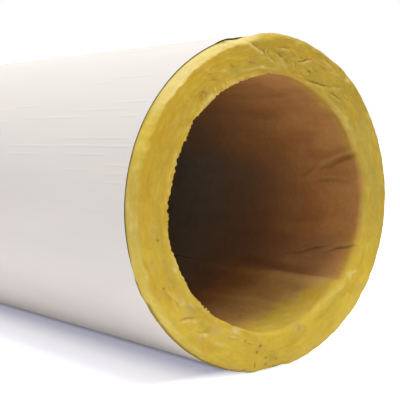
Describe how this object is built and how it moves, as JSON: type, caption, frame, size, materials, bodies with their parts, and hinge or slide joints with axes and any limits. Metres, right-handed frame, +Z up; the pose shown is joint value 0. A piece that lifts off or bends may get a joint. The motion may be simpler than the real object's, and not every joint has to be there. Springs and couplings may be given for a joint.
{
  "type": "fiberglass pipe insulation",
  "caption": "Straight sleeve of yellow glass wool with a through bore, slit lengthwise to spring over a pipe, in a white wrapped jacket with a closing lap; insulates a pipe.",
  "frame": {"origin": "on the floor, under the middle of the sleeve", "axes": "+X along the sleeve towards the end that the picture shows, +Z up"},
  "size_m": [0.914, 0.2208, 0.2208],
  "materials": {
    "glass_wool": "matte fibrous wool with a browner, smoother bore skin",
    "jacket_facing": "matte white kraft laminate with faint lengthwise creases"
  },
  "bodies": {
    "root": {"wool_sleeve": "glass_wool", "jacket": "jacket_facing"}
  },
  "joints": []
}
